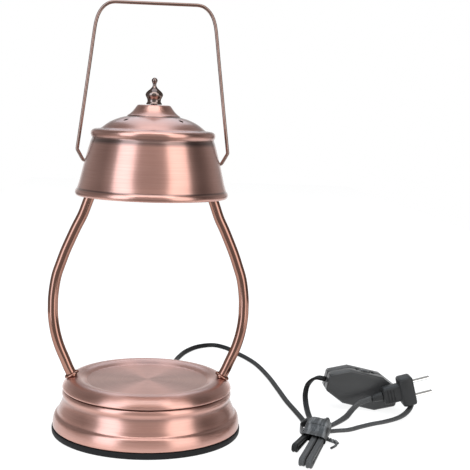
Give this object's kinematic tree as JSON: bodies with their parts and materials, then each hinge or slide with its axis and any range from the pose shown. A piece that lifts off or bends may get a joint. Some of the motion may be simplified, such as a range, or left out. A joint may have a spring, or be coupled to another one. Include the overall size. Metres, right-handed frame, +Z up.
{
  "type": "candle warmer lamp",
  "caption": "Candle warmer lamp: bell shade on bowed arms over a round dish and base, with a swinging wire bail, a finial, and a flat cord with a thumbwheel dimmer and a plug.",
  "frame": {"origin": "centre of the rubber foot's underside, on the lamp's axis", "axes": "+Z up along the lamp's axis; the arms and the bail's hinge line lie along X; the cord leaves the base towards +Y, the back"},
  "size_m": [0.3257, 0.3821, 0.3365],
  "materials": {
    "brushed_copper": "spun and brushed copper plate",
    "polished_copper": "polished copper plate",
    "steel": "zinc plated",
    "brass": "plain",
    "black_rubber": "matt",
    "black_plastic": "fine grain",
    "ceramic": "unglazed",
    "glass": "clear",
    "circuit_board": "lacquered"
  },
  "bodies": {
    "lamp": {"foot_ring": "black_rubber", "base_cover": "steel", "base_shell": "brushed_copper", "cover_screw_1": "steel", "cover_screw_2": "steel", "cover_screw_3": "steel", "candle_dish": "brushed_copper", "right_arm": "polished_copper", "left_arm": "polished_copper", "right_collar": "polished_copper", "left_collar": "polished_copper", "right_base_nut": "brass", "left_base_nut": "brass", "right_top_nut": "brass", "right_lock_nut": "brass", "left_top_nut": "brass", "left_lock_nut": "brass", "crossbar": "steel", "centre_rod": "steel", "rod_lower_nut": "brass", "rod_upper_nut": "brass", "shade": "brushed_copper", "finial": "polished_copper", "lamp_socket": "ceramic", "socket_screw_right": "steel", "socket_screw_left": "steel", "bulb_reflector": "glass", "bulb_lens": "glass", "bulb_capsule": "glass", "bulb_base": "ceramic", "terminal_block": "ceramic", "lamp_wire": "black_plastic", "cord_inner_end": "black_rubber", "cord_relief": "black_rubber", "cord_lead": "black_rubber", "hank_lamp_side": "black_rubber", "hank_plug_side": "black_rubber", "twist_tie": "black_plastic", "cord_to_dimmer": "black_rubber", "cord_from_dimmer": "black_rubber", "cord_to_plug": "black_rubber", "dimmer_front_shell": "black_plastic", "dimmer_back_shell": "black_plastic", "dimmer_screw_right": "steel", "dimmer_screw_left": "steel", "dimmer_pot": "black_plastic", "dimmer_board": "circuit_board", "plug_body": "black_plastic", "plug_relief": "black_plastic", "plug_blade_upper": "brass", "plug_blade_lower": "brass"},
    "bail": {"bail_handle": "polished_copper"},
    "thumbwheel": {"dimmer_wheel": "black_plastic"}
  },
  "joints": [
    {"name": "bail_swing", "type": "hinge", "parent": "lamp", "child": "bail", "pos_m": [0, 0, 0.214], "axis": [1, 0, 0], "range_deg": [-120, 120]},
    {"name": "dimmer_turn", "type": "hinge", "parent": "lamp", "child": "thumbwheel", "pos_m": [0.18845, 0.06605, 0.02201], "axis": [0, 1, 0], "range_deg": [0, 270]}
  ]
}
